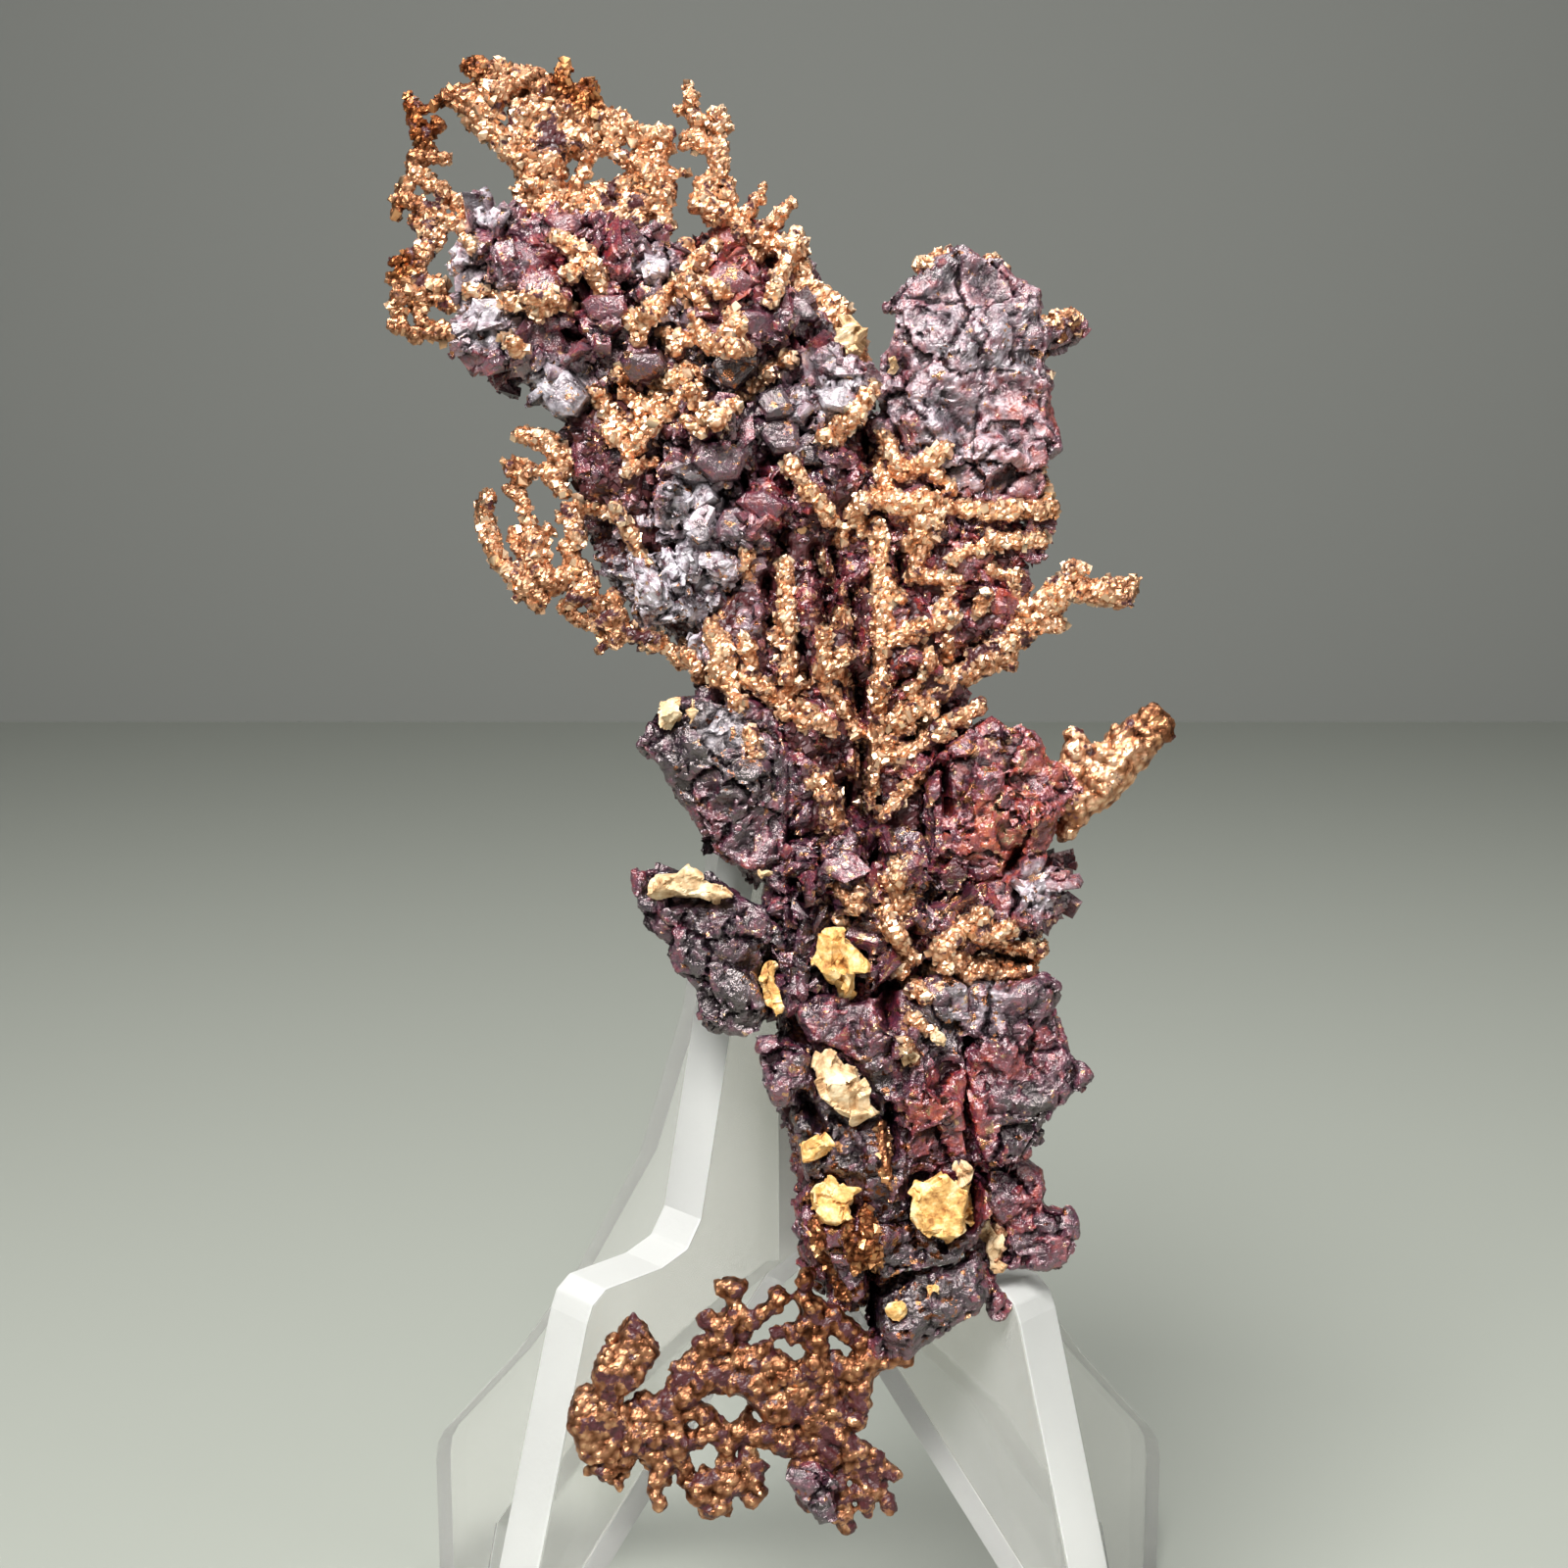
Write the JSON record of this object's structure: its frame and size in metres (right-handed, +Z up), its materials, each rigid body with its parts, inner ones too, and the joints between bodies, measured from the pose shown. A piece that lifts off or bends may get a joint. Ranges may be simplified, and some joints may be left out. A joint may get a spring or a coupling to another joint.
{
  "type": "mineral specimen on stand",
  "caption": "Branching native copper with dark red cuprite crusts and pale matrix grains, leaning on a clear easel of two crossed plates.",
  "frame": {"origin": "centre of the bounding box at ground level, under the easel", "axes": "+Z up, -Y towards the viewer, +X to the viewer's right"},
  "size_m": [0.051, 0.0458, 0.1005],
  "materials": {
    "native_copper": "rough granular metal with a satin sparkle, brown at the tips",
    "cuprite": "small glossy crystals with an adamantine glint",
    "calcite_grain": "dull granular",
    "ochre_grain": "dull granular",
    "clear_acrylic": "clear sheet with frosted sawn edges"
  },
  "bodies": {
    "root": {"copper_branch_lower_right": "native_copper", "copper_branch_upper_right": "native_copper", "copper_centre_lumps": "native_copper", "copper_core_head": "native_copper", "copper_core_middle": "native_copper", "copper_crown": "native_copper", "copper_foot": "native_copper", "copper_foot_arm": "native_copper", "copper_head_rim": "native_copper", "copper_left_arms": "native_copper", "copper_right_fingers": "native_copper", "copper_rod_cross": "native_copper", "copper_rod_left": "native_copper", "copper_rod_long": "native_copper", "copper_rod_right": "native_copper", "copper_rod_slant": "native_copper", "copper_rod_tall": "native_copper", "copper_second_branch": "native_copper", "copper_small_fingers": "native_copper", "copper_squiggle": "native_copper", "copper_stem": "native_copper", "copper_thin_arm": "native_copper", "copper_v_rods": "native_copper", "cuprite_band": "cuprite", "cuprite_centre": "cuprite", "cuprite_cigar": "cuprite", "cuprite_foot_plate": "cuprite", "cuprite_head_crust": "cuprite", "cuprite_head_middle": "cuprite", "cuprite_head_right": "cuprite", "cuprite_head_upper": "cuprite", "cuprite_lower_lobe": "cuprite", "cuprite_lower_right": "cuprite", "cuprite_neck_crystal": "cuprite", "cuprite_neck_front": "cuprite", "cuprite_neck_plate": "cuprite", "cuprite_right_lobe": "cuprite", "cuprite_wing_lower": "cuprite", "cuprite_wing_upper": "cuprite", "easel_plate_left": "clear_acrylic", "easel_plate_right": "clear_acrylic", "grain_cream_low": "calcite_grain", "grain_cream_slab": "calcite_grain", "grain_cream_top": "calcite_grain", "grain_disc_left": "ochre_grain", "grain_disc_right": "ochre_grain", "grain_head": "calcite_grain", "grain_inclusion_left": "calcite_grain", "grain_inclusion_right": "calcite_grain", "grain_lobe": "calcite_grain", "grain_ochre": "ochre_grain", "grain_ochre_block": "ochre_grain", "grain_orange": "ochre_grain", "grain_tan": "calcite_grain", "grain_tan_strip": "calcite_grain", "grain_wing_side": "calcite_grain", "grain_wing_top": "calcite_grain", "grain_yellow": "ochre_grain", "grain_yellow_low": "ochre_grain"}
  },
  "joints": []
}
